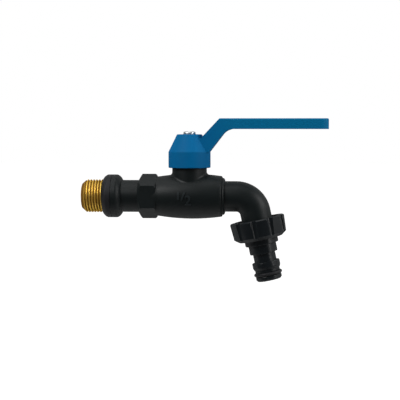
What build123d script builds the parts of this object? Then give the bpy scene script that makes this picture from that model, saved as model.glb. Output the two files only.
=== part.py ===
"""Plastic-bodied quarter-turn outdoor ball tap with a lever and a quick-connect hose nipple.

Millimetres. The origin is on the inlet axis at the wall side of the seal ring. +X runs out of the
wall along the flow, +Z up to the lever. The lever is at rest along the pipe, which is open.
"""

import os
from math import cos, radians, sin, sqrt, tan

from build123d import *

# Inlet: brass thread, rubber seal ring and the flange behind it
inlet_thread_diameter = 20.955
inlet_thread_length = 13.3
inlet_thread_lead = 2.5
inlet_thread_lead_length = 2.8
inlet_shank_diameter = 20.0
water_bore = 12.0
seal_thickness = 6.2
flange_diameter = 27.4
flange_width = 6.1
crown_length = 3.3
crown_radius = 4.8
seal_crease = 0.35
insert_neck_diameter = 17.6
insert_anchor_diameter = 21.6
insert_anchor_width = 1.8
insert_anchor_pitch = 1.6

# Body: tube, wrench hexagon, bowed barrel and stem neck
tube_diameter = 20.4
tube_length = 10.6
hex_across_flats = 24.6
hex_length = 11.7
hex_lead_length = 2.4
hex_end_round = 0.8
hex_run_out = 2.6
barrel_diameter = 28.5
barrel_inlet_diameter = 25.3
barrel_inlet_run = 1.6
barrel_outlet_diameter = 25.7
barrel_length = 41.6
barrel_end_round = 0.8
rim_wall_share = 0.7
stem_from_hex = 20.7
neck_diameter = 22.0
neck_height = 24.5
neck_blend = 1.9

# Ball valve inside the barrel
ball_diameter = 19.0
ball_port = 11.0
ball_slot_width = 5.0
ball_slot_floor = 6.4
valve_clearance = 1.0
seat_reach = 9.0
seat_lip = 5.0
seat_port = 12.4
seat_clearance = 0.1
backing_thickness = 1.5
backing_port = 13.6

# Stem, gland and their seals
stem_diameter = 9.2
stem_collar_diameter = 13.4
stem_collar_height = 2.0
stem_collar_rise = 0.8
stem_square = 6.4
stem_top_cover = 3.2
blade_clearance = 0.1
thrust_washer_thickness = 0.6
collar_clearance = 0.3
gland_slot_width = 2.4
gland_slot_depth = 1.8
o_ring_section = 1.8
groove_width = 2.2

# Fits
running_clearance = 0.08
seating_clearance = 0.04
skirt_clearance = 0.3
face_clearance = 0.05

# Lever handle and its screw
hub_diameter = 26.7
hub_bottom = 18.1
hub_skirt_height = 10.1
hub_cone_height = 11.1
hub_top_diameter = 15.8
hub_top_round = 0.8
hub_shoulder_round = 1.5
hub_rim_round = 0.4
hub_wall = 2.2
hub_roof_gap = 0.6
hub_boss_diameter = 12.4
hub_core_height = 5.2
lever_reach = 87.9
lever_width = 14.0
lever_thickness = 6.75
lever_height = 49.4
lever_end_round = 4.5
lever_edge_round = 0.9
lever_bend_round = 9.0
crank_top_drop = 2.3
crank_under_inset = 0.5
crank_upper_angle = 46.7
crank_lower_angle = 52.4
lever_wall = 2.0
lever_top_wall = 2.4
lever_tip_length = 11.0
lever_rib_count = 3
lever_rib_width = 1.4
screw_head_diameter = 7.9
screw_head_height = 1.8
screw_head_round = 1.0
screw_diameter = 4.0
screw_length = 13.0
screw_recess = 4.2
screw_recess_width = 1.0
screw_recess_depth = 1.1

# Quarter-turn stop: a lug in the hub swings in a window of the neck's rim
quarter_turn = 90.0
lug_centre_angle = 180.0
lug_angle = 30.0
lug_play_angle = 1.6
lug_depth = 2.2
window_depth = 3.0
lug_clearance = 0.3

# Spout elbow
spout_collar_step = 1.1
spout_collar_width = 1.4
spout_collar_round = 1.5
seam_gap = 0.2
spout_diameter = 19.4
spout_run = 7.4
bend_radius = 12.2
outlet_tilt = 12.0
outlet_drop = 4.7

# Outlet, measured down its own tilted axis from the top of the union nut
outlet_thread_diameter = 26.4
outlet_thread_sink = 0.8
outlet_thread_length = 7.2
outlet_washer_thickness = 1.6
outlet_washer_port = 12.6
nut_wall = 2.55
nut_taper = 0.7
nut_lip_clearance = 0.15
nut_lip_height = 1.6
nut_edge_round = 0.6
nut_foot_chamfer = 3.0
nut_foot_height = 2.2
nut_groove_count = 10
nut_groove_radius = 1.8
nut_groove_rise = 0.2
nut_groove_round = 0.9
nut_groove_phase = 23.5
thread_clearance = 0.1

# Hose nipple: flange in the nut, two steps, locking groove, locking collar, seal land and tip
nipple_bore = 11.0
nipple_flange_thickness = 1.4
first_step_diameter = 21.2
first_step_height = 3.4
second_step_diameter = 17.7
second_step_height = 5.6
locking_groove_diameter = 14.2
locking_groove_height = 5.5
locking_collar_diameter = 17.6
locking_collar_height = 3.2
collar_taper_diameter = 16.4
collar_taper_height = 1.6
seal_land_diameter = 15.7
seal_land_height = 4.2
tip_diameter = 16.4
tip_height = 3.0
tip_round = 1.0
step_round = 0.4
nipple_ring_stand = 1.15
nipple_ring_section = 2.2
nipple_groove_width = 2.6

# Places along the inlet axis
flange_face = seal_thickness
flange_back = flange_face + flange_width
hex_start = flange_back + tube_length
hex_end = hex_start + hex_length
stem_x = hex_end + stem_from_hex
barrel_end = hex_end + barrel_length
seat_back = seat_reach + face_clearance
valve_floor = stem_x - seat_back - backing_thickness - face_clearance
spigot_end = stem_x + seat_back + backing_thickness + face_clearance
spout_collar_start = barrel_end + seam_gap
spout_start = spout_collar_start + spout_collar_width
bend_start = spout_start + spout_run

# Radii that several pieces share
thread_radius = inlet_thread_diameter / 2
water_radius = water_bore / 2
flange_radius = flange_diameter / 2
tube_radius = tube_diameter / 2
hex_corner_radius = hex_across_flats / sqrt(3)
barrel_radius = barrel_diameter / 2
ball_radius = ball_diameter / 2
valve_radius = ball_radius + valve_clearance
stem_radius = stem_diameter / 2
gland_radius = stem_collar_diameter / 2 + collar_clearance
neck_radius = neck_diameter / 2
hub_radius = hub_diameter / 2
hub_top_radius = hub_top_diameter / 2
skirt_radius = neck_radius + skirt_clearance
spout_radius = spout_diameter / 2
outlet_thread_radius = outlet_thread_diameter / 2

# Heights on the stem axis
stem_seat = barrel_radius + stem_collar_rise
stem_foot = stem_seat + face_clearance
stem_collar_top = stem_foot + stem_collar_height
gland_floor = stem_collar_top + thrust_washer_thickness + 2 * face_clearance
hub_shoulder = hub_bottom + hub_skirt_height
hub_top = hub_shoulder + hub_cone_height
hub_roof = neck_height + hub_roof_gap
stem_top = hub_top - stem_top_cover
lever_underside = lever_height - lever_thickness
window_floor = neck_height - window_depth

# The tilted outlet: its plane has +X across to the right and +Y down the outlet's axis
tilt_cos = cos(radians(outlet_tilt))
tilt_sin = sin(radians(outlet_tilt))
outlet_direction = Vector(tilt_sin, 0, -tilt_cos)
bend_end = Vector(bend_start + bend_radius * tilt_cos, 0, bend_radius * (tilt_sin - 1))
nut_top = bend_end + outlet_direction * outlet_drop
outlet_section = Plane(origin=nut_top, x_dir=(tilt_cos, 0, tilt_sin), z_dir=(0, 1, 0))
outlet_axis = Axis(nut_top, outlet_direction)

# Places down the outlet axis
spout_end_depth = outlet_thread_sink + outlet_thread_length
nipple_face_depth = spout_end_depth + outlet_washer_thickness + 2 * face_clearance
nut_lip_depth = nipple_face_depth + nipple_flange_thickness + face_clearance
nut_height = nut_lip_depth + nut_lip_height

# The stem's own section plane and axis
stem_section = Plane(origin=(stem_x, 0, 0), x_dir=(1, 0, 0), z_dir=(0, -1, 0))
stem_axis = Axis((stem_x, 0, 0), (0, 0, 1))


def half_section(plane, *points):
    """A closed straight-sided half section to revolve."""
    with BuildSketch(plane) as section:
        with BuildLine():
            Polyline(*points, close=True)
        make_face()
    return section.sketch


def ring_section(plane, inner, outer, start, end):
    """The half section of a plain ring: radii first, then its places along the axis, plane Y."""
    return half_section(plane, (inner, start), (outer, start), (outer, end), (inner, end))


def pipe_ring(inner, outer, start, end):
    """The half section of a plain ring round the inlet axis."""
    return half_section(Plane.XZ, (start, inner), (end, inner), (end, outer), (start, outer))


def sector_plane(angle):
    """A half plane through the stem axis, turned by an angle from +X."""
    out = Vector(cos(radians(angle)), sin(radians(angle)), 0)
    return Plane(origin=(stem_x, 0, 0), x_dir=out, z_dir=out.cross(Vector(0, 0, 1)))


def outlet_plane(depth):
    """A plane square to the outlet axis, with +X across to the right."""
    return Plane(origin=nut_top + outlet_direction * depth, x_dir=(tilt_cos, 0, tilt_sin),
                 z_dir=outlet_direction)


def outlet_point(radius, depth):
    """A point at a radius to the right of the outlet axis and a depth below the nut's top."""
    return outlet_section.from_local_coords((radius, depth, 0))


def keep(builder, name):
    """Label a finished piece and write it to its own file."""
    builder.part.label = name
    export_step(builder.part, f"parts/{name}.step")


os.makedirs("parts", exist_ok=True)

# Brass insert: threaded end, shank under the seal ring, and an anchor rib held by the moulding
shank_radius = inlet_shank_diameter / 2
insert_neck_radius = insert_neck_diameter / 2
anchor_radius = insert_anchor_diameter / 2
anchor_start = flange_face + insert_anchor_pitch
insert_end = anchor_start + insert_anchor_width + insert_anchor_pitch

with BuildPart() as inlet_thread_insert:
    revolve(half_section(
        Plane.XZ,
        (-inlet_thread_length, water_radius),
        (insert_end, water_radius),
        (insert_end, insert_neck_radius),
        (anchor_start + insert_anchor_width, insert_neck_radius),
        (anchor_start + insert_anchor_width, anchor_radius),
        (anchor_start, anchor_radius),
        (anchor_start, insert_neck_radius),
        (flange_face - face_clearance, insert_neck_radius),
        (flange_face - face_clearance, shank_radius),
        (0, shank_radius),
        (0, thread_radius),
        (inlet_thread_lead_length - inlet_thread_length, thread_radius),
        (-inlet_thread_length, thread_radius - inlet_thread_lead),
    ), axis=Axis.X)
keep(inlet_thread_insert, "inlet_thread_insert")

# Rubber seal ring: a bead crowned towards the wall, with a crease at the flange
seal_radius = shank_radius + seating_clearance
seal_back = seal_thickness - face_clearance

with BuildPart() as inlet_seal:
    with BuildSketch(Plane.XZ):
        with BuildLine():
            seal_crown = RadiusArc((0, seal_radius), (crown_length, flange_radius), crown_radius)
            Polyline(
                seal_crown @ 1,
                (seal_back - seal_crease, flange_radius),
                (seal_back, flange_radius - seal_crease),
                (seal_back, seal_radius),
                seal_crown @ 0,
            )
        make_face()
    revolve(axis=Axis.X)
keep(inlet_seal, "inlet_seal")

# Wrench hexagon with a turned cone at its inlet side, a blank that joins the body
with BuildPart() as wrench_hex:
    with BuildSketch(Plane.YZ.offset(hex_start)):
        RegularPolygon(hex_corner_radius, 6, rotation=90)
    extrude(amount=hex_length)
    revolve(half_section(
        Plane.XZ,
        (hex_start, 0),
        (hex_end, 0),
        (hex_end, hex_corner_radius - hex_end_round),
        (hex_end - hex_end_round, hex_corner_radius),
        (hex_start + hex_lead_length, hex_corner_radius),
        (hex_start, tube_radius),
    ), axis=Axis.X, mode=Mode.INTERSECT)

# Valve body: outline turned about the inlet axis, hexagon, blended neck, then its bores
with BuildPart() as valve_body:
    with BuildSketch(Plane.XZ) as body_outline:
        with BuildLine():
            face_line = Line((flange_face, 0), (flange_face, flange_radius))
            rim_line = Line(face_line @ 1, (flange_back - crown_length, flange_radius))
            crown_line = RadiusArc(rim_line @ 1, (flange_back, tube_radius), crown_radius)
            tube_line = Line(crown_line @ 1, (hex_start, tube_radius))
            foot_line = Line(tube_line @ 1, (hex_end - hex_run_out, hex_across_flats / 2))
            run_line = Line(foot_line @ 1, (hex_end + barrel_inlet_run, barrel_inlet_diameter / 2))
            bow_line = ThreePointArc(run_line @ 1, (stem_x, barrel_radius),
                                     (barrel_end, barrel_outlet_diameter / 2))
            end_line = Line(bow_line @ 1, (barrel_end, 0))
            Line(end_line @ 1, face_line @ 0)
        make_face()
    revolve(axis=Axis.X)
    fillet(valve_body.edges().filter_by(GeomType.CIRCLE).sort_by(Axis.X)[-1],
           min(barrel_end_round, (barrel_outlet_diameter / 2 - valve_radius) * rim_wall_share))
    add(wrench_hex.part)
    with BuildSketch(Plane.XY):
        with Locations((stem_x, 0)):
            Circle(neck_radius)
    extrude(amount=neck_height)
    saddle = valve_body.edges(Select.LAST).filter_by(GeomType.CIRCLE, reverse=True)
    fillet(saddle.filter_by(lambda edge: edge.center().Z > 0 and edge.length > neck_radius), neck_blend)
    revolve(half_section(
        Plane.XZ,
        (flange_face, 0),
        (barrel_end, 0),
        (barrel_end, valve_radius),
        (valve_floor, valve_radius),
        (valve_floor, water_radius),
        (insert_end + face_clearance, water_radius),
        (insert_end + face_clearance, insert_neck_radius + seating_clearance),
        (anchor_start + insert_anchor_width + face_clearance, insert_neck_radius + seating_clearance),
        (anchor_start + insert_anchor_width + face_clearance, anchor_radius + seating_clearance),
        (anchor_start - face_clearance, anchor_radius + seating_clearance),
        (anchor_start - face_clearance, insert_neck_radius + seating_clearance),
        (flange_face, insert_neck_radius + seating_clearance),
    ), axis=Axis.X, mode=Mode.SUBTRACT)
    revolve(half_section(
        stem_section,
        (0, 0),
        (stem_radius + running_clearance, 0),
        (stem_radius + running_clearance, stem_seat),
        (gland_radius + seating_clearance, stem_seat),
        (gland_radius + seating_clearance, neck_height),
        (0, neck_height),
    ), axis=stem_axis, mode=Mode.SUBTRACT)
    window_start = lug_centre_angle - quarter_turn - lug_angle / 2 - lug_play_angle
    window_angle = quarter_turn + lug_angle + 2 * lug_play_angle
    revolve(ring_section(
        sector_plane(window_start),
        skirt_radius - lug_depth - lug_clearance,
        neck_radius + skirt_clearance,
        window_floor,
        neck_height + face_clearance,
    ), axis=stem_axis, revolution_arc=window_angle, mode=Mode.SUBTRACT)
keep(valve_body, "valve_body")

# Seats: rings with a spherical face that bears on the ball, one each side
ball_gap_radius = ball_radius + seat_clearance
seat_radius = valve_radius - seating_clearance


def seat_ring(side):
    """A seat on the inlet side (-1) or the outlet side (+1) of the ball."""

    def on_ball(radius):
        """The point of the bearing face at a radius from the pipe's axis."""
        return stem_x + side * sqrt(ball_gap_radius ** 2 - radius ** 2), radius

    lip_radius = sqrt(ball_gap_radius ** 2 - seat_lip ** 2)
    far = stem_x + side * seat_reach
    with BuildPart() as seat:
        with BuildSketch(Plane.XZ):
            with BuildLine():
                bearing = ThreePointArc(
                    on_ball(seat_port / 2),
                    on_ball((seat_port / 2 + lip_radius) / 2),
                    on_ball(lip_radius),
                )
                Polyline(
                    bearing @ 1,
                    (stem_x + side * seat_lip, seat_radius),
                    (far, seat_radius),
                    (far, seat_port / 2),
                    bearing @ 0,
                )
            make_face()
        revolve(axis=Axis.X)
    return seat


def backing_ring(side):
    """The rubber ring that presses a seat on the ball."""
    near = stem_x + side * seat_back
    far = near + side * backing_thickness
    with BuildPart() as backing:
        revolve(pipe_ring(backing_port / 2, seat_radius, min(near, far), max(near, far)), axis=Axis.X)
    return backing


keep(seat_ring(-1), "inlet_seat")
keep(seat_ring(1), "outlet_seat")
keep(backing_ring(-1), "inlet_seat_backing")
keep(backing_ring(1), "outlet_seat_backing")

# Ball: open port along the pipe, drive slot across it
with BuildPart() as ball:
    with Locations((stem_x, 0, 0)):
        Sphere(ball_radius)
    revolve(pipe_ring(0, ball_port / 2, stem_x - ball_radius, stem_x + ball_radius),
            axis=Axis.X, mode=Mode.SUBTRACT)
    with BuildSketch(Plane.XY.offset(ball_slot_floor)):
        with Locations((stem_x, 0)):
            Rectangle(ball_slot_width, ball_diameter)
    extrude(amount=ball_radius, mode=Mode.SUBTRACT)
keep(ball, "ball")

# Stem: blade in the ball's slot, grooved shaft, collar, square for the hub and a tapped hole
ring_radius = o_ring_section / 2
groove_radius = stem_radius - o_ring_section - seating_clearance
lower_ring_height = (valve_radius + stem_seat) / 2
upper_ring_height = (gland_floor + neck_height) / 2
stem_shaft_foot = ball_radius + face_clearance
screw_hole_radius = screw_diameter / 2 + seating_clearance

with BuildPart() as stem:
    revolve(half_section(
        stem_section,
        (0, stem_shaft_foot),
        (stem_radius, stem_shaft_foot),
        (stem_radius, lower_ring_height - groove_width / 2),
        (groove_radius, lower_ring_height - groove_width / 2),
        (groove_radius, lower_ring_height + groove_width / 2),
        (stem_radius, lower_ring_height + groove_width / 2),
        (stem_radius, stem_foot),
        (stem_collar_diameter / 2, stem_foot),
        (stem_collar_diameter / 2, stem_collar_top),
        (stem_radius, stem_collar_top),
        (stem_radius, upper_ring_height - groove_width / 2),
        (groove_radius, upper_ring_height - groove_width / 2),
        (groove_radius, upper_ring_height + groove_width / 2),
        (stem_radius, upper_ring_height + groove_width / 2),
        (stem_radius, neck_height),
        (0, neck_height),
    ), axis=stem_axis)
    with BuildSketch(Plane.XY.offset(ball_slot_floor + blade_clearance)):
        with Locations((stem_x, 0)):
            Circle(stem_radius)
            Rectangle(ball_slot_width - blade_clearance, stem_diameter, mode=Mode.INTERSECT)
    extrude(until=Until.NEXT)
    with BuildSketch(Plane.XY.offset(neck_height)):
        with Locations((stem_x, 0)):
            Rectangle(stem_square, stem_square)
    extrude(amount=stem_top - neck_height)
    with BuildSketch(Plane.XY.offset(stem_top)):
        with Locations((stem_x, 0)):
            Circle(screw_hole_radius)
    extrude(amount=stem_top_cover - screw_length - face_clearance, mode=Mode.SUBTRACT)
keep(stem, "stem")

for ring_name, ring_height in (
    ("lower_stem_o_ring", lower_ring_height),
    ("upper_stem_o_ring", upper_ring_height),
):
    with BuildPart(Plane(origin=(stem_x, 0, ring_height))) as stem_ring:
        Torus(stem_radius - ring_radius, ring_radius)
    keep(stem_ring, ring_name)

with BuildPart() as thrust_washer:
    washer_floor = stem_collar_top + face_clearance
    revolve(ring_section(
        stem_section,
        stem_radius + running_clearance,
        stem_collar_diameter / 2,
        washer_floor,
        washer_floor + thrust_washer_thickness,
    ), axis=stem_axis)
keep(thrust_washer, "thrust_washer")

# Gland bush: threaded ring in the neck with two spanner slots
with BuildPart() as gland_bush:
    revolve(ring_section(
        stem_section,
        stem_radius + running_clearance,
        gland_radius,
        gland_floor,
        neck_height - face_clearance,
    ), axis=stem_axis)
    with BuildSketch(Plane.XY.offset(neck_height)):
        with Locations((stem_x, 0)):
            Rectangle(2 * gland_radius, gland_slot_width)
    extrude(amount=-gland_slot_depth, mode=Mode.SUBTRACT)
keep(gland_bush, "gland_bush")

# Lever handle: hub with a hollow skirt, cranked arm cored from below, square socket and stop lug
lever_end = stem_x + lever_reach
crank_root = hub_top - crank_top_drop
crank_rise = lever_height - crank_root
crank_top_x = stem_x + hub_top_radius + crank_rise / tan(radians(crank_upper_angle))
crank_under_root = stem_x + hub_radius - crank_under_inset
crank_under_x = crank_under_root + (lever_underside - hub_shoulder) / tan(radians(crank_lower_angle))
hub_cone_slope = (hub_radius - hub_top_radius) / hub_cone_height
core_top = hub_shoulder + hub_core_height
core_radius = hub_radius - hub_cone_slope * hub_core_height - hub_wall * sqrt(1 + hub_cone_slope ** 2)
core_start = crank_under_x + lever_bend_round
core_end = lever_end - lever_tip_length

with BuildPart() as lever_handle:
    with BuildSketch(Plane.XZ) as arm_side:
        with BuildLine():
            Polyline(
                (stem_x, hub_shoulder),
                (crank_under_root, hub_shoulder),
                (crank_under_x, lever_underside),
                (lever_end, lever_underside),
                (lever_end, lever_height),
                (crank_top_x, lever_height),
                (stem_x + hub_top_radius, crank_root),
                (stem_x, crank_root),
                close=True,
            )
        make_face()
        inner_bend = arm_side.vertices().sort_by_distance((crank_under_x, lever_underside))[0]
        fillet(inner_bend, lever_bend_round)
    extrude(amount=lever_width / 2, both=True)
    fillet(lever_handle.edges().filter_by(Axis.Z).group_by(Axis.X)[-1], lever_end_round)
    rim = lever_handle.faces().filter_by(Axis.Z).group_by(Axis.Z)[-1].edges()
    fillet(rim.filter_by(lambda edge: edge.center().X > crank_top_x + lever_edge_round), lever_edge_round)
    with BuildSketch(stem_section) as hub_side:
        with BuildLine():
            Polyline(
                (0, hub_bottom),
                (hub_radius, hub_bottom),
                (hub_radius, hub_shoulder),
                (hub_top_radius, hub_top),
                (0, hub_top),
                close=True,
            )
        make_face()
        for corner, size in (
            ((hub_radius, hub_bottom), hub_rim_round),
            ((hub_radius, hub_shoulder), hub_shoulder_round),
            ((hub_top_radius, hub_top), hub_top_round),
        ):
            fillet(hub_side.vertices().sort_by_distance(corner)[0], size)
    revolve(axis=stem_axis)
    with BuildSketch(Plane.XY.offset(lever_underside)):
        with Locations(((core_start + core_end) / 2, 0)):
            RectangleRounded(core_end - core_start, lever_width - 2 * lever_wall, lever_wall)
    extrude(amount=lever_thickness - lever_top_wall, mode=Mode.SUBTRACT)
    rib_pitch = (core_end - core_start) / (lever_rib_count + 1)
    with BuildSketch(Plane.XY.offset(lever_underside + lever_wall)):
        with Locations(((core_start + core_end) / 2, 0)):
            with GridLocations(rib_pitch, lever_width, lever_rib_count, 1):
                Rectangle(lever_rib_width, lever_width - lever_wall)
    extrude(amount=lever_thickness - lever_wall - lever_top_wall / 2)
    revolve(half_section(
        stem_section,
        (0, hub_bottom),
        (skirt_radius, hub_bottom),
        (skirt_radius, hub_shoulder),
        (core_radius, core_top),
        (hub_boss_diameter / 2, core_top),
        (hub_boss_diameter / 2, hub_roof),
        (0, hub_roof),
    ), axis=stem_axis, mode=Mode.SUBTRACT)
    revolve(ring_section(
        sector_plane(lug_centre_angle - lug_angle / 2),
        skirt_radius - lug_depth,
        skirt_radius + hub_wall / 2,
        window_floor + lug_clearance,
        hub_shoulder,
    ), axis=stem_axis, revolution_arc=lug_angle)
    with BuildSketch(Plane.XY.offset(hub_roof)):
        with Locations((stem_x, 0)):
            Rectangle(stem_square + 2 * seating_clearance, stem_square + 2 * seating_clearance)
    extrude(amount=stem_top + face_clearance - hub_roof, mode=Mode.SUBTRACT)
    with BuildSketch(Plane.XY.offset(hub_roof)):
        with Locations((stem_x, 0)):
            Circle(screw_hole_radius)
    extrude(amount=hub_top - hub_roof, mode=Mode.SUBTRACT)
keep(lever_handle, "lever_handle")

# Handle screw: pan head with a plain cross recess
with BuildPart() as handle_screw:
    head_floor = hub_top + face_clearance
    revolve(half_section(
        stem_section,
        (0, head_floor - screw_length),
        (screw_diameter / 2, head_floor - screw_length),
        (screw_diameter / 2, head_floor),
        (screw_head_diameter / 2, head_floor),
        (screw_head_diameter / 2, head_floor + screw_head_height),
        (0, head_floor + screw_head_height),
    ), axis=stem_axis)
    head_face = handle_screw.faces().sort_by(Axis.Z)[-1]
    fillet(head_face.edges(), screw_head_round)
    with BuildSketch(Plane.XY.offset(head_floor + screw_head_height)):
        with Locations((stem_x, 0)):
            Rectangle(screw_recess, screw_recess_width)
            Rectangle(screw_recess_width, screw_recess)
    extrude(amount=-screw_recess_depth, mode=Mode.SUBTRACT)
keep(handle_screw, "handle_screw")

# Spout: grooved spigot in the barrel, collar at the seam, swept elbow and the outlet thread
spigot_radius = valve_radius - seating_clearance
spout_ring_place = barrel_end - groove_width
spout_groove_radius = spigot_radius - o_ring_section - seating_clearance
spout_collar_radius = barrel_outlet_diameter / 2 - spout_collar_step

with BuildPart() as spout:
    with BuildLine() as route:
        pipe_run = Line((spigot_end, 0, 0), (bend_start, 0, 0))
        bend = ThreePointArc(
            pipe_run @ 1,
            (bend_start + bend_radius * sin(radians(45 - outlet_tilt / 2)), 0,
             bend_radius * (cos(radians(45 - outlet_tilt / 2)) - 1)),
            bend_end,
        )
        Line(bend @ 1, nut_top + outlet_direction * spout_end_depth)
    with BuildSketch(Plane.YZ.offset(spigot_end)):
        Circle(spout_radius)
    sweep(path=route.wires()[0])
    revolve(pipe_ring(0, spigot_radius, spigot_end, spout_collar_start), axis=Axis.X)
    revolve(pipe_ring(0, spout_collar_radius, spout_collar_start, spout_start), axis=Axis.X)
    collar_rims = spout.edges(Select.LAST).filter_by(GeomType.CIRCLE)
    fillet(collar_rims.sort_by_distance((spout_start, 0, spout_collar_radius))[0],
           min(spout_collar_round, spout_collar_radius - spout_radius, spout_collar_width - seam_gap))
    revolve(ring_section(outlet_section, 0, outlet_thread_radius, outlet_thread_sink, spout_end_depth),
            axis=outlet_axis)
    with BuildSketch(Plane.YZ.offset(spigot_end)):
        Circle(water_radius)
    sweep(path=route.wires()[0], mode=Mode.SUBTRACT)
    revolve(pipe_ring(spout_groove_radius, valve_radius, spout_ring_place - groove_width / 2,
                      spout_ring_place + groove_width / 2), axis=Axis.X, mode=Mode.SUBTRACT)
keep(spout, "spout")

with BuildPart(Plane(origin=(spout_ring_place, 0, 0), z_dir=(1, 0, 0))) as spout_o_ring:
    Torus(spigot_radius - ring_radius, ring_radius)
keep(spout_o_ring, "spout_o_ring")

# Union nut: lobed grip, thread bore and the lip that carries the hose nipple
nut_bore_radius = outlet_thread_radius + thread_clearance
nut_radius = nut_bore_radius + nut_wall + nut_groove_radius - nut_groove_rise
nut_lip_radius = first_step_diameter / 2 + nut_lip_clearance

with BuildPart() as union_nut:
    with BuildSketch(outlet_plane(0)) as nut_outline:
        Circle(nut_radius)
        with PolarLocations(nut_radius + nut_groove_rise, nut_groove_count, nut_groove_phase):
            Circle(nut_groove_radius, mode=Mode.SUBTRACT)
        fillet(nut_outline.vertices(), nut_groove_round)
    extrude(amount=nut_height)
    revolve(half_section(
        outlet_section,
        (0, 0),
        (nut_radius - nut_edge_round, 0),
        (nut_radius, nut_edge_round),
        (nut_radius - nut_taper, nut_height - nut_foot_height),
        (nut_radius - nut_taper - nut_foot_chamfer, nut_height),
        (0, nut_height),
    ), axis=outlet_axis, mode=Mode.INTERSECT)
    revolve(half_section(
        outlet_section,
        (0, 0),
        (nut_bore_radius, 0),
        (nut_bore_radius, nut_lip_depth),
        (nut_lip_radius, nut_lip_depth),
        (nut_lip_radius, nut_height),
        (0, nut_height),
    ), axis=outlet_axis, mode=Mode.SUBTRACT)
keep(union_nut, "union_nut")

with BuildPart() as outlet_washer:
    washer_depth = spout_end_depth + face_clearance
    revolve(ring_section(
        outlet_section,
        outlet_washer_port / 2,
        outlet_thread_radius - thread_clearance,
        washer_depth,
        washer_depth + outlet_washer_thickness,
    ), axis=outlet_axis)
keep(outlet_washer, "outlet_washer")

# Hose nipple
first_step_end = nut_height + first_step_height
second_step_end = first_step_end + second_step_height
locking_groove_end = second_step_end + locking_groove_height
locking_collar_end = locking_groove_end + locking_collar_height
collar_taper_end = locking_collar_end + collar_taper_height
seal_land_end = collar_taper_end + seal_land_height
nipple_end = seal_land_end + tip_height
nipple_ring_radius = nipple_ring_section / 2
nipple_ring_outside = seal_land_diameter / 2 + nipple_ring_stand
nipple_groove_radius = nipple_ring_outside - nipple_ring_section - seating_clearance
nipple_ring_depth = seal_land_end - nipple_groove_width / 2

with BuildPart() as hose_nipple:
    revolve(half_section(
        outlet_section,
        (nipple_bore / 2, nipple_face_depth),
        (outlet_thread_radius - thread_clearance, nipple_face_depth),
        (outlet_thread_radius - thread_clearance, nipple_face_depth + nipple_flange_thickness),
        (first_step_diameter / 2, nipple_face_depth + nipple_flange_thickness),
        (first_step_diameter / 2, first_step_end),
        (second_step_diameter / 2, first_step_end),
        (second_step_diameter / 2, second_step_end),
        (locking_groove_diameter / 2, second_step_end),
        (locking_groove_diameter / 2, locking_groove_end),
        (locking_collar_diameter / 2, locking_groove_end),
        (locking_collar_diameter / 2, locking_collar_end),
        (collar_taper_diameter / 2, collar_taper_end),
        (seal_land_diameter / 2, collar_taper_end),
        (seal_land_diameter / 2, seal_land_end - nipple_groove_width),
        (nipple_groove_radius, seal_land_end - nipple_groove_width),
        (nipple_groove_radius, seal_land_end),
        (tip_diameter / 2, seal_land_end),
        (tip_diameter / 2, nipple_end - tip_round),
        (tip_diameter / 2 - tip_round, nipple_end),
        (nipple_bore / 2, nipple_end),
    ), axis=outlet_axis)
    soft_rims = [
        hose_nipple.edges().sort_by_distance(outlet_point(diameter / 2, depth))[0]
        for diameter, depth in (
            (first_step_diameter, first_step_end),
            (second_step_diameter, second_step_end),
            (locking_collar_diameter, locking_groove_end),
            (locking_collar_diameter, locking_collar_end),
            (tip_diameter, seal_land_end),
        )
    ]
    fillet(soft_rims, step_round)
keep(hose_nipple, "hose_nipple")

with BuildPart(outlet_plane(nipple_ring_depth)) as nipple_o_ring:
    Torus(nipple_ring_outside - nipple_ring_radius, nipple_ring_radius)
keep(nipple_o_ring, "nipple_o_ring")
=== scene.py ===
"""Looks of a plastic-bodied outdoor tap: cut threads, raised size mark, finishes, light and camera.

Metres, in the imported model's frame. Sizes are written in millimetres and times MM.
"""

import math

import bpy
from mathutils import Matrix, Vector


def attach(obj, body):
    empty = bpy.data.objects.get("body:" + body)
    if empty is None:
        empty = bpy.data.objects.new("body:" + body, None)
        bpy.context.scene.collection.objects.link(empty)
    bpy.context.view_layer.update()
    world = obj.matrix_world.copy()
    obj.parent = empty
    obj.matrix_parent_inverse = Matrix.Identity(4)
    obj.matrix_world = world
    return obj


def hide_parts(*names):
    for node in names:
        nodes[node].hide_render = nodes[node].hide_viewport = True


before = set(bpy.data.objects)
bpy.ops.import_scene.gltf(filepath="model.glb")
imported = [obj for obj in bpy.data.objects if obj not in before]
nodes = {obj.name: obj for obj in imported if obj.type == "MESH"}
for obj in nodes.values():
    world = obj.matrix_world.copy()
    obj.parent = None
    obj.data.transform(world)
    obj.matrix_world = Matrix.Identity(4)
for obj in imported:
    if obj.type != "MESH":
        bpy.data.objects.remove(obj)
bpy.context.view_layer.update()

MM = 0.001
WELD = 0.002 * MM
FULL_TURN = 2 * math.pi
SMOOTH_ANGLE = math.radians(32)
THREAD_STEPS = 72
THREAD_FLANK_SHARE = 0.33
TURNED_STEPS = 96

# Inlet thread, half inch parallel pipe thread, 0.95 deep where its rounded crests and roots show
INLET_CREST = 10.4775
INLET_PITCH = 1.814
INLET_DEPTH = 0.95
INLET_LENGTH = 13.3
INLET_LEAD = 2.5
INLET_LEAD_LENGTH = 2.8
INLET_BORE = 6.0
INLET_BORE_BEVEL = 0.5
INLET_SPARE = 1.0
INLET_OVERLAP = 0.5
SHANK_RADIUS = 10.0
SHANK_LAP = 0.7
SHANK_END = 6.15
INSERT_NECK = 8.8
INSERT_ANCHOR = 10.8
ANCHOR_START = 7.8
ANCHOR_END = 9.6
INSERT_END = 11.2

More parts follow.
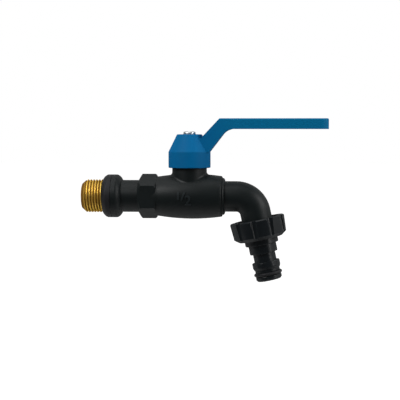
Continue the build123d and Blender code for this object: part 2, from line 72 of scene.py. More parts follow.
# Outlet thread, three quarter inch, on the spout's tilted axis
NUT_TOP = (98.111, 0.0, -14.261)
OUTLET_TILT = 12.0
OUTLET_CREST = 13.2
OUTLET_PITCH = 1.814
OUTLET_DEPTH = 1.0
OUTLET_CUT_START = 1.6
OUTLET_CUT_END = 8.6
OUTLET_CUT_SPARE = 0.6
OUTLET_CREST_SPARE = 0.1

# Raised size mark on the front of the barrel: each sign, its left and right X and its foot and head Z
MARK_SIGNS = (
    ("1", 48.9, 50.2, -1.6, 3.4),
    ("/", 50.9, 54.2, -1.9, 3.4),
    ("2", 53.6, 57.6, -5.0, 1.2),
)
MARK_START = -20.0
MARK_BOLD = 0.1
MARK_RISE = 0.5
MARK_SINK = 0.2
MARK_SLOPE = 0.25
MARK_SLOPE_ANGLE = math.radians(50)
MARK_CUTS = 4

# Places along the handle where the hub ends and the crank has reached the lever
HUB_END = 66.0
CRANK_END = 86.0

# Camera, set to the photograph's outline, and the floor under the tap
VIEW_TARGET = (61.978, 0.0, -2.377)
VIEW_AZIMUTH = 5.54
VIEW_ELEVATION = 3.34
VIEW_DISTANCE = 815.1
VIEW_LENS = 115.5
SENSOR_WIDTH = 36.0
FLOOR_LEVEL = -165.0
FLOOR_WIDTH = 8000.0
FLOOR_FRONT = -100.0
FLOOR_BACK = 6000.0
FLOOR_LIFT_START, FLOOR_LIFT_END = 300.0, 1300.0
FLOOR_LIFT_NEAR, FLOOR_LIFT_FAR = 0.36, 0.9


def linear(hex_code):
    """An sRGB hex colour as linear RGBA."""
    channels = [int(hex_code[place:place + 2], 16) / 255 for place in (1, 3, 5)]
    return (*(c / 12.92 if c <= 0.04045 else ((c + 0.055) / 1.055) ** 2.4 for c in channels), 1.0)


def repeats(size):
    """How often a pattern of this size in millimetres repeats in a metre."""
    return 1 / (size * MM)


def add_node(tree, kind, inputs=None, **settings):
    """Adds a node with its settings; an input is a value, or another node's socket to link."""
    made = tree.nodes.new(kind)
    for name, value in settings.items():
        setattr(made, name, value)
    for name, value in (inputs or {}).items():
        if isinstance(value, bpy.types.NodeSocket):
            tree.links.new(value, made.inputs[name])
        else:
            made.inputs[name].default_value = value
    return made


def new_material(name):
    """An empty material, its node tree and the object coordinates of the piece it is on."""
    material = bpy.data.materials.new(name)
    material.use_nodes = True
    tree = material.node_tree
    tree.nodes.clear()
    place = add_node(tree, "ShaderNodeTexCoord").outputs["Object"]
    return material, tree, place


# Sockets of the colour mix node
MIX_FACTOR, MIX_FIRST, MIX_SECOND, MIX_RESULT = 0, 6, 7, 2


def moulded_nylon():
    # Black glass-filled nylon from a spark-eroded mould: near black and matt, a fine even grain that
    # breaks up the light, faint clouding, and a hair-thin flash line where the mould's halves met
    material, tree, place = new_material("moulded_glass_filled_nylon_black")
    cloud = add_node(tree, "ShaderNodeTexNoise", {"Vector": place, "Scale": repeats(7.0), "Detail": 3.0})
    colour = add_node(tree, "ShaderNodeMix", {
        MIX_FACTOR: cloud.outputs["Fac"],
        MIX_FIRST: linear("#050A0A"),
        MIX_SECOND: linear("#0A1112"),
    }, data_type="RGBA")
    # A textured skin is duller where it is seen at a low angle
    facing = add_node(tree, "ShaderNodeLayerWeight", {"Blend": 0.3})
    clouded = add_node(tree, "ShaderNodeMapRange", {
        "Value": cloud.outputs["Fac"], "To Min": 0.4, "To Max": 0.48})
    gloss = add_node(tree, "ShaderNodeMath", {
        0: facing.outputs["Facing"], 1: 0.4, 2: clouded.outputs["Result"]}, operation="MULTIPLY_ADD")
    # The real grain is about 0.1 mm; it is drawn at 0.45 mm so that it shows
    grain = add_node(tree, "ShaderNodeTexNoise", {"Vector": place, "Scale": repeats(0.45), "Detail": 2.0})
    grain_bump = add_node(tree, "ShaderNodeBump", {
        "Height": grain.outputs["Fac"], "Distance": 0.03 * MM, "Strength": 0.6})
    across = add_node(tree, "ShaderNodeSeparateXYZ", {"Vector": place})
    off_line = add_node(tree, "ShaderNodeMath", {0: across.outputs["Y"]}, operation="ABSOLUTE")
    flash = add_node(tree, "ShaderNodeMapRange", {
        "Value": off_line.outputs["Value"], "From Max": 0.16 * MM, "To Min": 1.0, "To Max": 0.0})
    flash_bump = add_node(tree, "ShaderNodeBump", {
        "Height": flash.outputs["Result"], "Distance": 0.08 * MM, "Strength": 0.8,
        "Normal": grain_bump.outputs["Normal"]})
    shader = add_node(tree, "ShaderNodeBsdfPrincipled", {
        "Base Color": colour.outputs[MIX_RESULT],
        "Roughness": gloss.outputs["Value"],
        "IOR": 1.53,
        "Specular IOR Level": 0.17,
        "Normal": flash_bump.outputs["Normal"],
    })
    add_node(tree, "ShaderNodeOutputMaterial", {"Surface": shader.outputs["BSDF"]})
    return material


def painted_highlight_nylon():
    # The same black nylon on the raised signs, coloured lighter than the skin round it as a painted
    # highlight for the light the raised strokes catch, and a little shinier, in fine patches
    material, tree, place = new_material("nylon_black_with_painted_highlight")
    sign_patch_noise = add_node(tree, "ShaderNodeTexNoise", {"Vector": place, "Scale": repeats(0.8), "Detail": 3.0})
    # Painted highlight: both colours are lighter than the body's, so the raised strokes read as lit
    colour = add_node(tree, "ShaderNodeMix", {
        MIX_FACTOR: sign_patch_noise.outputs["Fac"],
        MIX_FIRST: linear("#101618"),
        MIX_SECOND: linear("#1A2022"),
    }, data_type="RGBA")
    gloss = add_node(tree, "ShaderNodeMapRange", {
        "Value": sign_patch_noise.outputs["Fac"], "To Min": 0.5, "To Max": 0.38})
    shader = add_node(tree, "ShaderNodeBsdfPrincipled", {
        "Base Color": colour.outputs[MIX_RESULT],
        "Roughness": gloss.outputs["Result"],
        "IOR": 1.53,
        "Specular IOR Level": 0.2,
    })
    add_node(tree, "ShaderNodeOutputMaterial", {"Surface": shader.outputs["BSDF"]})
    return material


def moulded_acetal():
    # Black acetal from a polished mould: deeper black than the body and glossier, a slow ripple
    # from shrinkage over the thick lobes, and a few rubbed patches where it is gripped
    material, tree, place = new_material("moulded_acetal_black")
    rub = add_node(tree, "ShaderNodeTexNoise", {"Vector": place, "Scale": repeats(4.0), "Detail": 4.0})
    colour = add_node(tree, "ShaderNodeMix", {
        MIX_FACTOR: rub.outputs["Fac"],
        MIX_FIRST: linear("#0A0E10"),
        MIX_SECOND: linear("#101518"),
    }, data_type="RGBA")
    facing = add_node(tree, "ShaderNodeLayerWeight", {"Blend": 0.4})
    gloss = add_node(tree, "ShaderNodeMapRange", {
        "Value": facing.outputs["Facing"], "To Min": 0.24, "To Max": 0.95})
    ripple = add_node(tree, "ShaderNodeTexNoise", {"Vector": place, "Scale": repeats(2.5), "Detail": 1.0})
    ripple_bump = add_node(tree, "ShaderNodeBump", {
        "Height": ripple.outputs["Fac"], "Distance": 0.06 * MM, "Strength": 0.5})
    shader = add_node(tree, "ShaderNodeBsdfPrincipled", {
        "Base Color": colour.outputs[MIX_RESULT],
        "Roughness": gloss.outputs["Result"],
        "IOR": 1.48,
        "Specular IOR Level": 0.2,
        "Normal": ripple_bump.outputs["Normal"],
    })
    add_node(tree, "ShaderNodeOutputMaterial", {"Surface": shader.outputs["BSDF"]})
    return material


def moulded_blue_abs():
    # Blue ABS, moulded: mid blue right through, coloured a little deeper at the hub than along the lever
    # as painted shade on the hub, with slow flow clouds, a satin skin and a soft orange-peel ripple
    material, tree, place = new_material("moulded_abs_blue")
    stretch = add_node(tree, "ShaderNodeMapping", {"Vector": place, "Scale": (0.4, 1.0, 1.0)})
    flow = add_node(tree, "ShaderNodeTexNoise", {
        "Vector": stretch.outputs["Vector"], "Scale": repeats(9.0), "Detail": 3.0})
    along = add_node(tree, "ShaderNodeSeparateXYZ", {"Vector": place})
    # Painted shade: the hub is coloured deeper than the lever, fading out along the crank
    painted_hub_shade = add_node(tree, "ShaderNodeMapRange", {
        "Value": along.outputs["X"], "From Min": HUB_END * MM, "From Max": CRANK_END * MM,
        "To Min": -0.1, "To Max": 0.5})
    spread = add_node(tree, "ShaderNodeMath", {
        0: flow.outputs["Fac"], 1: 0.5, 2: painted_hub_shade.outputs["Result"]}, operation="MULTIPLY_ADD")
    colour = add_node(tree, "ShaderNodeMix", {
        MIX_FACTOR: spread.outputs["Value"],
        MIX_FIRST: linear("#005687"),
        MIX_SECOND: linear("#006086"),
    }, data_type="RGBA")
    facing = add_node(tree, "ShaderNodeLayerWeight", {"Blend": 0.3})
    gloss = add_node(tree, "ShaderNodeMapRange", {
        "Value": facing.outputs["Facing"], "To Min": 0.56, "To Max": 1.0})
    peel = add_node(tree, "ShaderNodeTexNoise", {"Vector": place, "Scale": repeats(0.9), "Detail": 2.0})
    peel_bump = add_node(tree, "ShaderNodeBump", {
        "Height": peel.outputs["Fac"], "Distance": 0.03 * MM, "Strength": 0.5})
    shader = add_node(tree, "ShaderNodeBsdfPrincipled", {
        "Base Color": colour.outputs[MIX_RESULT],
        "Roughness": gloss.outputs["Result"],
        "IOR": 1.53,
        "Specular IOR Level": 0.06,
        "Normal": peel_bump.outputs["Normal"],
    })
    add_node(tree, "ShaderNodeOutputMaterial", {"Surface": shader.outputs["BSDF"]})
    return material


def moulded_rubber():
    # Black nitrile rubber, press moulded: dull with a cold tint, dusty bloom in patches, fine pitting
    material, tree, place = new_material("moulded_nitrile_rubber_black")
    bloom = add_node(tree, "ShaderNodeTexNoise", {"Vector": place, "Scale": repeats(3.0), "Detail": 4.0})
    colour = add_node(tree, "ShaderNodeMix", {
        MIX_FACTOR: bloom.outputs["Fac"],
        MIX_FIRST: linear("#0A0B0E"),
        MIX_SECOND: linear("#15161A"),
    }, data_type="RGBA")
    gloss = add_node(tree, "ShaderNodeMapRange", {
        "Value": bloom.outputs["Fac"], "To Min": 0.5, "To Max": 0.7})
    pits = add_node(tree, "ShaderNodeTexNoise", {"Vector": place, "Scale": repeats(0.5), "Detail": 2.0})
    pits_bump = add_node(tree, "ShaderNodeBump", {
        "Height": pits.outputs["Fac"], "Distance": 0.03 * MM, "Strength": 0.5})
    shader = add_node(tree, "ShaderNodeBsdfPrincipled", {
        "Base Color": colour.outputs[MIX_RESULT],
        "Roughness": gloss.outputs["Result"],
        "IOR": 1.52,
        "Specular IOR Level": 0.2,
        "Normal": pits_bump.outputs["Normal"],
    })
    add_node(tree, "ShaderNodeOutputMaterial", {"Surface": shader.outputs["BSDF"]})
    return material


def cut_brass():
    # Yellow brass, thread cut on a lathe: bright crests and roots coloured darker as painted shade in the
    # grooves, fine tool lines round the axis and a slightly uneven tarnish tint
    material, tree, place = new_material("lathe_cut_brass")
    across = add_node(tree, "ShaderNodeSeparateXYZ", {"Vector": place})
    side = add_node(tree, "ShaderNodeCombineXYZ", {"Y": across.outputs["Y"], "Z": across.outputs["Z"]})
    radius = add_node(tree, "ShaderNodeVectorMath", {0: side.outputs["Vector"]}, operation="LENGTH")
    # Painted shade: the roots are coloured darker than the crests, by distance from the axis; it also
    # makes them rougher and less metallic
    painted_root_shade = add_node(tree, "ShaderNodeMapRange", {
        "Value": radius.outputs["Value"],
        "From Min": (INLET_CREST - INLET_DEPTH) * MM,
        "From Max": INLET_CREST * MM,
    })
    tarnish = add_node(tree, "ShaderNodeTexNoise", {"Vector": place, "Scale": repeats(2.0), "Detail": 4.0})
    uneven = add_node(tree, "ShaderNodeMath", {
        0: tarnish.outputs["Fac"], 1: 0.3, 2: painted_root_shade.outputs["Result"]}, operation="MULTIPLY_ADD")
    bright = add_node(tree, "ShaderNodeMapRange", {
        "Value": uneven.outputs["Value"], "From Min": 0.15, "From Max": 1.1})
    colour = add_node(tree, "ShaderNodeMix", {
        MIX_FACTOR: bright.outputs["Result"],
        MIX_FIRST: linear("#7C5A24"),
        MIX_SECOND: linear("#E0BB5A"),
    }, data_type="RGBA")
    # The film of oil and oxide dulls the metal more where it is seen at a low angle
    facing = add_node(tree, "ShaderNodeLayerWeight", {"Blend": 0.5})
    gloss_by_depth = add_node(tree, "ShaderNodeMapRange", {
        "Value": bright.outputs["Result"], "To Min": 0.5, "To Max": 0.34})
    gloss = add_node(tree, "ShaderNodeMath", {
        0: facing.outputs["Facing"], 1: 0.35, 2: gloss_by_depth.outputs["Result"]}, operation="MULTIPLY_ADD")
    # Tool lines are about 0.1 mm apart; they are drawn at 0.25 mm so that they show
    lines = add_node(tree, "ShaderNodeTexWave", {
        "Vector": place, "Scale": repeats(0.25) * FULL_TURN / 20, "Distortion": 0.4},
        wave_type="BANDS", bands_direction="X")
    lines_bump = add_node(tree, "ShaderNodeBump", {
        "Height": lines.outputs["Fac"], "Distance": 0.012 * MM, "Strength": 0.5})
    metal_by_depth = add_node(tree, "ShaderNodeMapRange", {
        "Value": bright.outputs["Result"], "To Min": 0.65, "To Max": 1.0})
    shader = add_node(tree, "ShaderNodeBsdfPrincipled", {
        "Base Color": colour.outputs[MIX_RESULT],
        "Metallic": metal_by_depth.outputs["Result"],
        "Roughness": gloss.outputs["Value"],
        "Specular IOR Level": 0.2,
        "Specular Tint": linear("#241A0B"),
        "Normal": lines_bump.outputs["Normal"],
    })
    add_node(tree, "ShaderNodeOutputMaterial", {"Surface": shader.outputs["BSDF"]})
    return material


def turned_brass():
    # Brass bar turned for the stem: even yellow, tool lines round the upright axis
    material, tree, place = new_material("turned_brass_bar")
    tint = add_node(tree, "ShaderNodeTexNoise", {"Vector": place, "Scale": repeats(3.0), "Detail": 3.0})
    colour = add_node(tree, "ShaderNodeMix", {
        MIX_FACTOR: tint.outputs["Fac"],
        MIX_FIRST: linear("#B98F3B"),
        MIX_SECOND: linear("#DDB663"),
    }, data_type="RGBA")
    lines = add_node(tree, "ShaderNodeTexWave", {
        "Vector": place, "Scale": repeats(0.25) * FULL_TURN / 20, "Distortion": 0.4},
        wave_type="BANDS", bands_direction="Z")
    lines_bump = add_node(tree, "ShaderNodeBump", {
        "Height": lines.outputs["Fac"], "Distance": 0.012 * MM, "Strength": 0.5})
    shader = add_node(tree, "ShaderNodeBsdfPrincipled", {
        "Base Color": colour.outputs[MIX_RESULT],
        "Metallic": 1.0,
        "Roughness": 0.3,
        "Normal": lines_bump.outputs["Normal"],
    })
    add_node(tree, "ShaderNodeOutputMaterial", {"Surface": shader.outputs["BSDF"]})
    return material


def zinc_plated_steel():
    # Steel screw, barrel zinc plated and passivated: cold bright grey, small dull spots from tumbling
    material, tree, place = new_material("zinc_plated_steel")
    spots = add_node(tree, "ShaderNodeTexNoise", {"Vector": place, "Scale": repeats(1.2), "Detail": 3.0})
    colour = add_node(tree, "ShaderNodeMix", {
        MIX_FACTOR: spots.outputs["Fac"],
        MIX_FIRST: linear("#B0B5B7"),
        MIX_SECOND: linear("#C8CCCD"),
    }, data_type="RGBA")
    gloss = add_node(tree, "ShaderNodeMapRange", {
        "Value": spots.outputs["Fac"], "To Min": 0.4, "To Max": 0.32})
    spots_bump = add_node(tree, "ShaderNodeBump", {
        "Height": spots.outputs["Fac"], "Distance": 0.02 * MM, "Strength": 0.05})
    shader = add_node(tree, "ShaderNodeBsdfPrincipled", {
        "Base Color": colour.outputs[MIX_RESULT],
        "Metallic": 1.0,
        "Roughness": gloss.outputs["Result"],
        "Normal": spots_bump.outputs["Normal"],
    })
    add_node(tree, "ShaderNodeOutputMaterial", {"Surface": shader.outputs["BSDF"]})
    return material


def chromed_ball():
    # Brass ball, ground and chrome plated: mirror grey with very fine lapping scratches
    material, tree, place = new_material("chrome_plated_ground_ball")
    lapping = add_node(tree, "ShaderNodeTexNoise", {"Vector": place, "Scale": repeats(0.6), "Detail": 5.0})
    colour = add_node(tree, "ShaderNodeMix", {
        MIX_FACTOR: lapping.outputs["Fac"],
        MIX_FIRST: linear("#BFC3C6"),
        MIX_SECOND: linear("#DADDDF"),
    }, data_type="RGBA")
    gloss = add_node(tree, "ShaderNodeMapRange", {
        "Value": lapping.outputs["Fac"], "To Min": 0.06, "To Max": 0.16})
    shader = add_node(tree, "ShaderNodeBsdfPrincipled", {
        "Base Color": colour.outputs[MIX_RESULT],
        "Metallic": 1.0,
        "Roughness": gloss.outputs["Result"],
    })
    add_node(tree, "ShaderNodeOutputMaterial", {"Surface": shader.outputs["BSDF"]})
    return material


def sintered_ptfe():
    # White PTFE, pressed, sintered and turned: waxy off-white, soft mottling, dull skin
    material, tree, place = new_material("turned_sintered_ptfe")
    mottle = add_node(tree, "ShaderNodeTexNoise", {"Vector": place, "Scale": repeats(1.5), "Detail": 3.0})
    colour = add_node(tree, "ShaderNodeMix", {
        MIX_FACTOR: mottle.outputs["Fac"],
        MIX_FIRST: linear("#E4E2D9"),
        MIX_SECOND: linear("#F1F0EA"),
    }, data_type="RGBA")
    gloss = add_node(tree, "ShaderNodeMapRange", {
        "Value": mottle.outputs["Fac"], "To Min": 0.42, "To Max": 0.55})
    shader = add_node(tree, "ShaderNodeBsdfPrincipled", {
        "Base Color": colour.outputs[MIX_RESULT],
        "Roughness": gloss.outputs["Result"],
        "IOR": 1.36,
    })
    add_node(tree, "ShaderNodeOutputMaterial", {"Surface": shader.outputs["BSDF"]})
    return material


def pick(piece):
    """Selects one piece alone and makes it the active one."""
    bpy.ops.object.select_all(action="DESELECT")
    piece.select_set(True)
    bpy.context.view_layer.objects.active = piece


def draw_outline(name, points):
    """A chain of edges, drawn by extruding one vertex from point to point; it stays in edit mode."""
    bpy.ops.object.select_all(action="DESELECT")
    bpy.ops.mesh.primitive_plane_add(size=MM)
    piece = bpy.context.object
    piece.name = name
    bpy.ops.object.mode_set(mode="EDIT")
    bpy.ops.mesh.select_all(action="SELECT")
    bpy.ops.mesh.merge(type="CENTER")
    places = [Vector((along, 0.0, radius)) * MM for along, radius in points]
    bpy.ops.transform.translate(value=places[0])
    for here, there in zip(places, places[1:]):
        bpy.ops.mesh.extrude_region_move(TRANSFORM_OT_translate={"value": there - here})
    return piece


def weld_and_face_out():
    """Merges doubled vertices of the mesh in edit mode and turns its faces outwards."""
    bpy.ops.mesh.select_all(action="SELECT")
    bpy.ops.mesh.remove_doubles(threshold=WELD)
    bpy.ops.mesh.normals_make_consistent(inside=False)


def turned(name, points):
    """A closed section, as (along X, radius) points, turned about the X axis."""
    piece = draw_outline(name, [*points, points[0]])
    bpy.ops.mesh.select_all(action="SELECT")
    bpy.ops.mesh.remove_doubles(threshold=WELD)
    bpy.ops.mesh.select_all(action="SELECT")
    bpy.ops.mesh.spin(steps=TURNED_STEPS, angle=FULL_TURN, center=(0, 0, 0), axis=(1, 0, 0))
    weld_and_face_out()
    bpy.ops.object.mode_set(mode="OBJECT")
    return piece


def threaded_rod(name, crest, depth, pitch, start, end):
    """A solid rod along X with a right-hand thread, its tooth drawn once and screwed round the axis."""
    root = crest - depth
    flank = THREAD_FLANK_SHARE * pitch
    flat = (pitch - 2 * flank) / 2
    turns = math.ceil((end - start) / pitch) + 2
    first = start - pitch
    piece = draw_outline(name, [
        (first, root),
        (first + flat / 2, root),
        (first + flat / 2 + flank, crest),
        (first + 3 * flat / 2 + flank, crest),
        (first + 3 * flat / 2 + 2 * flank, root),
        (first + pitch, root),
    ])
    bpy.ops.object.mode_set(mode="OBJECT")
    screw = piece.modifiers.new("thread", "SCREW")
    screw.axis = "X"
    screw.angle = FULL_TURN
    screw.screw_offset = pitch * MM
    screw.iterations = turns
    screw.steps = THREAD_STEPS
    screw.render_steps = THREAD_STEPS
    bpy.ops.object.modifier_apply(modifier=screw.name)
    bpy.ops.object.mode_set(mode="EDIT")
    for place, side in ((start, -1), (end, 1)):
        bpy.ops.mesh.select_all(action="SELECT")
        bpy.ops.mesh.remove_doubles(threshold=WELD)
        bpy.ops.mesh.select_all(action="SELECT")
        bpy.ops.mesh.bisect(plane_co=(place * MM, 0, 0), plane_no=(side, 0, 0),
                            use_fill=True, clear_outer=True)
    weld_and_face_out()
    bpy.ops.object.mode_set(mode="OBJECT")
    return piece


def combine(piece, tool, operation):
    """Joins a tool piece, cuts it away or keeps what is common; the tool is then removed."""
    pick(piece)
    joined = piece.modifiers.new(operation.lower(), "BOOLEAN")
    joined.operation = operation
    joined.solver = "EXACT"
    joined.object = tool
    bpy.ops.object.modifier_apply(modifier=joined.name)
    bpy.data.objects.remove(tool, do_unlink=True)


def hand_over(piece, material, body):
    """Shades a finished piece, gives it its finish and sets it on its body."""
    pick(piece)
    bpy.ops.object.shade_smooth_by_angle(angle=SMOOTH_ANGLE)
    piece.data.materials.clear()
    piece.data.materials.append(material)
    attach(piece, body)


nylon = moulded_nylon()
sign_finish_painted_highlight = painted_highlight_nylon()
acetal = moulded_acetal()
blue_abs = moulded_blue_abs()
rubber = moulded_rubber()
thread_brass = cut_brass()
stem_brass = turned_brass()
zinc = zinc_plated_steel()
chrome = chromed_ball()
ptfe = sintered_ptfe()

finishes = {
    nylon: ("valve_body", "spout", "gland_bush"),
    acetal: ("union_nut", "hose_nipple"),
    blue_abs: ("lever_handle",),
    rubber: ("inlet_seal", "inlet_seat_backing", "outlet_seat_backing", "lower_stem_o_ring",
             "upper_stem_o_ring", "spout_o_ring", "nipple_o_ring", "outlet_washer"),
    thread_brass: ("inlet_thread_insert",),
    stem_brass: ("stem",),
    zinc: ("handle_screw",),
    chrome: ("ball",),
    ptfe: ("inlet_seat", "outlet_seat", "thrust_washer"),
}
for material, names in finishes.items():
    for name in names:
        nodes[name].data.materials.clear()
        nodes[name].data.materials.append(material)

# Brass inlet: a threaded rod, coned at its lead and bored, joined to the shank in the body
inlet = threaded_rod("inlet_cut_thread", INLET_CREST, INLET_DEPTH, INLET_PITCH,
                     -INLET_LENGTH - INLET_SPARE, INLET_OVERLAP)
inlet_blank = turned("inlet_blank", [
    (-INLET_LENGTH, INLET_BORE + INLET_BORE_BEVEL),
    (-INLET_LENGTH, INLET_CREST - INLET_LEAD),
    (-INLET_LENGTH + INLET_LEAD_LENGTH, INLET_CREST),
    (-INLET_LENGTH + 2 * INLET_LEAD_LENGTH, INLET_CREST + INLET_LEAD),
    (0.0, INLET_CREST + INLET_LEAD),
    (0.0, INLET_BORE),
    (-INLET_LENGTH + INLET_BORE_BEVEL, INLET_BORE),
])
combine(inlet, inlet_blank, "INTERSECT")
inlet_shank = turned("inlet_shank", [
    (-SHANK_LAP, INLET_BORE),
    (-SHANK_LAP, SHANK_RADIUS),
    (SHANK_END, SHANK_RADIUS),
    (SHANK_END, INSERT_NECK),
    (ANCHOR_START, INSERT_NECK),
    (ANCHOR_START, INSERT_ANCHOR),
    (ANCHOR_END, INSERT_ANCHOR),
    (ANCHOR_END, INSERT_NECK),
    (INSERT_END, INSERT_NECK),
    (INSERT_END, INLET_BORE),
])
combine(inlet, inlet_shank, "UNION")
hand_over(inlet, thread_brass, "tap_body")
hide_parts("inlet_thread_insert")

# Spout: a copy of the solid's mesh with its outlet thread cut, seen when the nut is unscrewed
outlet = nodes["spout"].copy()
outlet.data = nodes["spout"].data.copy()
outlet.name = "outlet_cut_thread"
for key in list(outlet.keys()):
    del outlet[key]
bpy.context.scene.collection.objects.link(outlet)
pick(outlet)
# The normals stored with the solid's loose triangles would smear the light once it is cut
bpy.ops.mesh.customdata_custom_splitnormals_clear()
bpy.ops.object.mode_set(mode="EDIT")
weld_and_face_out()
bpy.ops.object.mode_set(mode="OBJECT")
outlet_cutter = turned("outlet_cutter", [
    (OUTLET_CUT_START, OUTLET_CREST - OUTLET_DEPTH - OUTLET_CUT_SPARE),
    (OUTLET_CUT_START, OUTLET_CREST + OUTLET_CUT_SPARE),
    (OUTLET_CUT_END, OUTLET_CREST + OUTLET_CUT_SPARE),
    (OUTLET_CUT_END, OUTLET_CREST - OUTLET_DEPTH - OUTLET_CUT_SPARE),
])
outlet_rod = threaded_rod("outlet_rod", OUTLET_CREST + OUTLET_CREST_SPARE, OUTLET_DEPTH, OUTLET_PITCH,
                          OUTLET_CUT_START - OUTLET_PITCH, OUTLET_CUT_END + OUTLET_PITCH)
combine(outlet_cutter, outlet_rod, "DIFFERENCE")
pick(outlet_cutter)
bpy.ops.object.mode_set(mode="EDIT")
bpy.ops.mesh.select_all(action="SELECT")
bpy.ops.transform.rotate(value=math.radians(OUTLET_TILT - 90), orient_axis="Y",
                         center_override=(0, 0, 0))
bpy.ops.transform.translate(value=Vector(NUT_TOP) * MM)
bpy.ops.object.mode_set(mode="OBJECT")
combine(outlet, outlet_cutter, "DIFFERENCE")
hand_over(outlet, nylon, "tap_body")
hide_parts("spout")

# Raised size mark: flat signs stood up before the barrel, pressed on it and thickened
mark = None
for sign, left, right, foot, head in MARK_SIGNS:
    bpy.ops.object.select_all(action="DESELECT")
    bpy.ops.object.text_add(location=(0, 0, 0))
    bpy.context.object.data.body = sign
    bpy.context.object.data.size = (head - foot) * MM
    bpy.context.object.data.offset = MARK_BOLD * MM
    bpy.ops.object.convert(target="MESH")
    piece = bpy.context.object
    corners = [vertex.co for vertex in piece.data.vertices]
    low_x, high_x = min(c.x for c in corners), max(c.x for c in corners)
    low_y, high_y = min(c.y for c in corners), max(c.y for c in corners)
    bpy.ops.object.mode_set(mode="EDIT")
    bpy.ops.mesh.select_all(action="SELECT")
    bpy.ops.mesh.subdivide(number_cuts=MARK_CUTS)
    bpy.ops.transform.translate(value=(-low_x, -low_y, 0))
    bpy.ops.transform.resize(value=((right - left) * MM / (high_x - low_x),
                                    (head - foot) * MM / (high_y - low_y), 1.0),
                             center_override=(0, 0, 0))
    bpy.ops.transform.rotate(value=math.radians(-90), orient_axis="X", center_override=(0, 0, 0))
    bpy.ops.transform.translate(value=Vector((left, MARK_START, foot)) * MM)
    bpy.ops.object.mode_set(mode="OBJECT")
    if mark is None:
        mark = piece
        mark.name = "raised_size_mark"
    else:
        pick(mark)
        piece.select_set(True)
        bpy.ops.object.join()
pick(mark)
pressed = mark.modifiers.new("pressed", "SHRINKWRAP")
pressed.target = nodes["valve_body"]
pressed.wrap_method = "PROJECT"
pressed.use_project_y = True
bpy.ops.object.modifier_apply(modifier=pressed.name)
thickened = mark.modifiers.new("thickened", "SOLIDIFY")
thickened.thickness = (MARK_RISE + MARK_SINK) * MM
thickened.offset = (MARK_RISE - MARK_SINK) / (MARK_RISE + MARK_SINK)
bpy.ops.object.modifier_apply(modifier=thickened.name)
sloped = mark.modifiers.new("sloped", "BEVEL")
sloped.width = MARK_SLOPE * MM
sloped.segments = 2
sloped.angle_limit = MARK_SLOPE_ANGLE
bpy.ops.object.modifier_apply(modifier=sloped.name)
bpy.ops.object.mode_set(mode="EDIT")
weld_and_face_out()
bpy.ops.object.mode_set(mode="OBJECT")
hand_over(mark, sign_finish_painted_highlight, "tap_body")

# Light: a strong soft box at the front left, one on the right with a small low one beside it, which
# draws the streaks on nut and nipple, and a wide one above; the room fills the rest
SOFT_BOXES = (
    ("key_soft_box", (-560.0, -640.0, 640.0), 420.0, 10.4),
    ("right_soft_box", (880.0, -150.0, 430.0), 450.0, 6.0),
    ("low_right_soft_box", (940.0, -440.0, 155.0), 180.0, 1.4),
    ("top_soft_box", (0.0, -60.0, 1000.0), 700.0, 4.2),
)
scene = bpy.context.scene
scene.view_settings.view_transform = "Standard"


def soft_box(name, place, size, power):
    """A square soft lamp aimed at the middle of the tap: its place, side length and watts."""
    aim = Vector(VIEW_TARGET) * MM - Vector(place) * MM
    bpy.ops.object.light_add(type="AREA", location=Vector(place) * MM,
                             rotation=aim.to_track_quat("-Z", "Y").to_euler())
    lamp = bpy.context.object
    lamp.name = name
    lamp.data.size = size * MM
    lamp.data.energy = power
    lamp.visible_camera = False


for box_name, box_place, box_size, box_power in SOFT_BOXES:
    soft_box(box_name, box_place, box_size, box_power)

# The white backdrop stands behind the tap and the room is dim on the photographer's side; the camera
# sees white all round, and a mirror sees the backdrop where it stands and a dark grey room elsewhere
BACKDROP_EDGE, BACKDROP_FULL = 0.05, 0.9
ROOM_IN_MIRROR = 0.2
BACKDROP_GLOW, ROOM_GLOW = 0.42, 0.1
world = bpy.data.worlds.new("white_studio")
world.use_nodes = True
world.node_tree.nodes.clear()
room = world.node_tree
path = add_node(room, "ShaderNodeLightPath")
heading = add_node(room, "ShaderNodeTexCoord").outputs["Generated"]
depth = add_node(room, "ShaderNodeSeparateXYZ", {"Vector": heading})
behind = add_node(room, "ShaderNodeMapRange", {
    "Value": depth.outputs["Y"], "From Min": BACKDROP_EDGE, "From Max": BACKDROP_FULL,
}, interpolation_type="SMOOTHSTEP")
straight = add_node(room, "ShaderNodeMath", {
    0: path.outputs["Is Camera Ray"], 1: path.outputs["Is Transmission Ray"]}, operation="MAXIMUM")
around = add_node(room, "ShaderNodeMath", {
    0: behind.outputs["Result"], 1: ROOM_IN_MIRROR}, operation="MAXIMUM")
mirrored = add_node(room, "ShaderNodeMath", {
    0: path.outputs["Is Glossy Ray"], 1: around.outputs["Value"]}, operation="MULTIPLY")
shown = add_node(room, "ShaderNodeMath", {
    0: straight.outputs["Value"], 1: mirrored.outputs["Value"]}, operation="MAXIMUM")
ambient = add_node(room, "ShaderNodeMath", {
    0: behind.outputs["Result"], 1: BACKDROP_GLOW, 2: ROOM_GLOW}, operation="MULTIPLY_ADD")
level = add_node(room, "ShaderNodeMath", {
    0: shown.outputs["Value"], 1: ambient.outputs["Value"]}, operation="MAXIMUM")
backdrop = add_node(room, "ShaderNodeBackground", {
    "Color": linear("#FFFFFF"), "Strength": level.outputs["Value"]})
add_node(room, "ShaderNodeOutputWorld", {"Surface": backdrop.outputs["Background"]})
scene.world = world

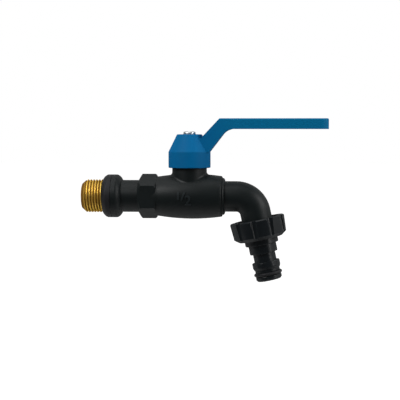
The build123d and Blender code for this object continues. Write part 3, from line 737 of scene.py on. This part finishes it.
# Pale floor, well below the tap, which hangs on its wall thread
bpy.ops.object.select_all(action="DESELECT")
bpy.ops.mesh.primitive_plane_add(size=FLOOR_WIDTH * MM)
floor = bpy.context.object
floor.name = "pale_floor"
bpy.ops.object.mode_set(mode="EDIT")
bpy.ops.mesh.select_all(action="SELECT")
bpy.ops.transform.resize(value=(1.0, (FLOOR_BACK - FLOOR_FRONT) / FLOOR_WIDTH, 1.0))
bpy.ops.transform.translate(value=Vector((0.0, (FLOOR_BACK + FLOOR_FRONT) / 2, FLOOR_LEVEL)) * MM)
bpy.ops.object.mode_set(mode="OBJECT")
floor_paint, floor_tree, floor_place = new_material("matt_white_floor_paint")
speckle = add_node(floor_tree, "ShaderNodeTexNoise", {
    "Vector": floor_place, "Scale": repeats(40.0), "Detail": 2.0})
floor_colour = add_node(floor_tree, "ShaderNodeMix", {
    MIX_FACTOR: speckle.outputs["Fac"],
    MIX_FIRST: linear("#DEDEDE"),
    MIX_SECOND: linear("#E2E2E2"),
}, data_type="RGBA")
floor_path = add_node(floor_tree, "ShaderNodeLightPath")
floor_shown = add_node(floor_tree, "ShaderNodeMath", {
    0: floor_path.outputs["Is Camera Ray"],
    1: floor_path.outputs["Is Transmission Ray"],
}, operation="MAXIMUM")
# The lamps fade with distance, so the floor is lifted to white the further it is from the tap
floor_distance = add_node(floor_tree, "ShaderNodeVectorMath", {0: floor_place}, operation="LENGTH")
floor_fade = add_node(floor_tree, "ShaderNodeMapRange", {
    "Value": floor_distance.outputs["Value"],
    "From Min": FLOOR_LIFT_START * MM,
    "From Max": FLOOR_LIFT_END * MM,
    "To Min": FLOOR_LIFT_NEAR,
    "To Max": FLOOR_LIFT_FAR,
})
floor_lift = add_node(floor_tree, "ShaderNodeMath", {
    0: floor_shown.outputs["Value"], 1: floor_fade.outputs["Result"]}, operation="MULTIPLY")
floor_shader = add_node(floor_tree, "ShaderNodeBsdfPrincipled", {
    "Base Color": floor_colour.outputs[MIX_RESULT],
    "Roughness": 0.9,
    "Specular IOR Level": 0.0,
    "Emission Color": linear("#FFFFFF"),
    "Emission Strength": floor_lift.outputs["Value"],
})
add_node(floor_tree, "ShaderNodeOutputMaterial", {"Surface": floor_shader.outputs["BSDF"]})
floor.data.materials.append(floor_paint)

# Camera
azimuth = math.radians(VIEW_AZIMUTH)
elevation = math.radians(VIEW_ELEVATION)
back = Vector((
    math.sin(azimuth) * math.cos(elevation),
    -math.cos(azimuth) * math.cos(elevation),
    math.sin(elevation),
))
bpy.ops.object.camera_add(location=(Vector(VIEW_TARGET) + back * VIEW_DISTANCE) * MM,
                          rotation=(-back).to_track_quat("-Z", "Y").to_euler())
camera = bpy.context.object
camera.data.lens = VIEW_LENS
camera.data.sensor_width = SENSOR_WIDTH
scene.camera = camera
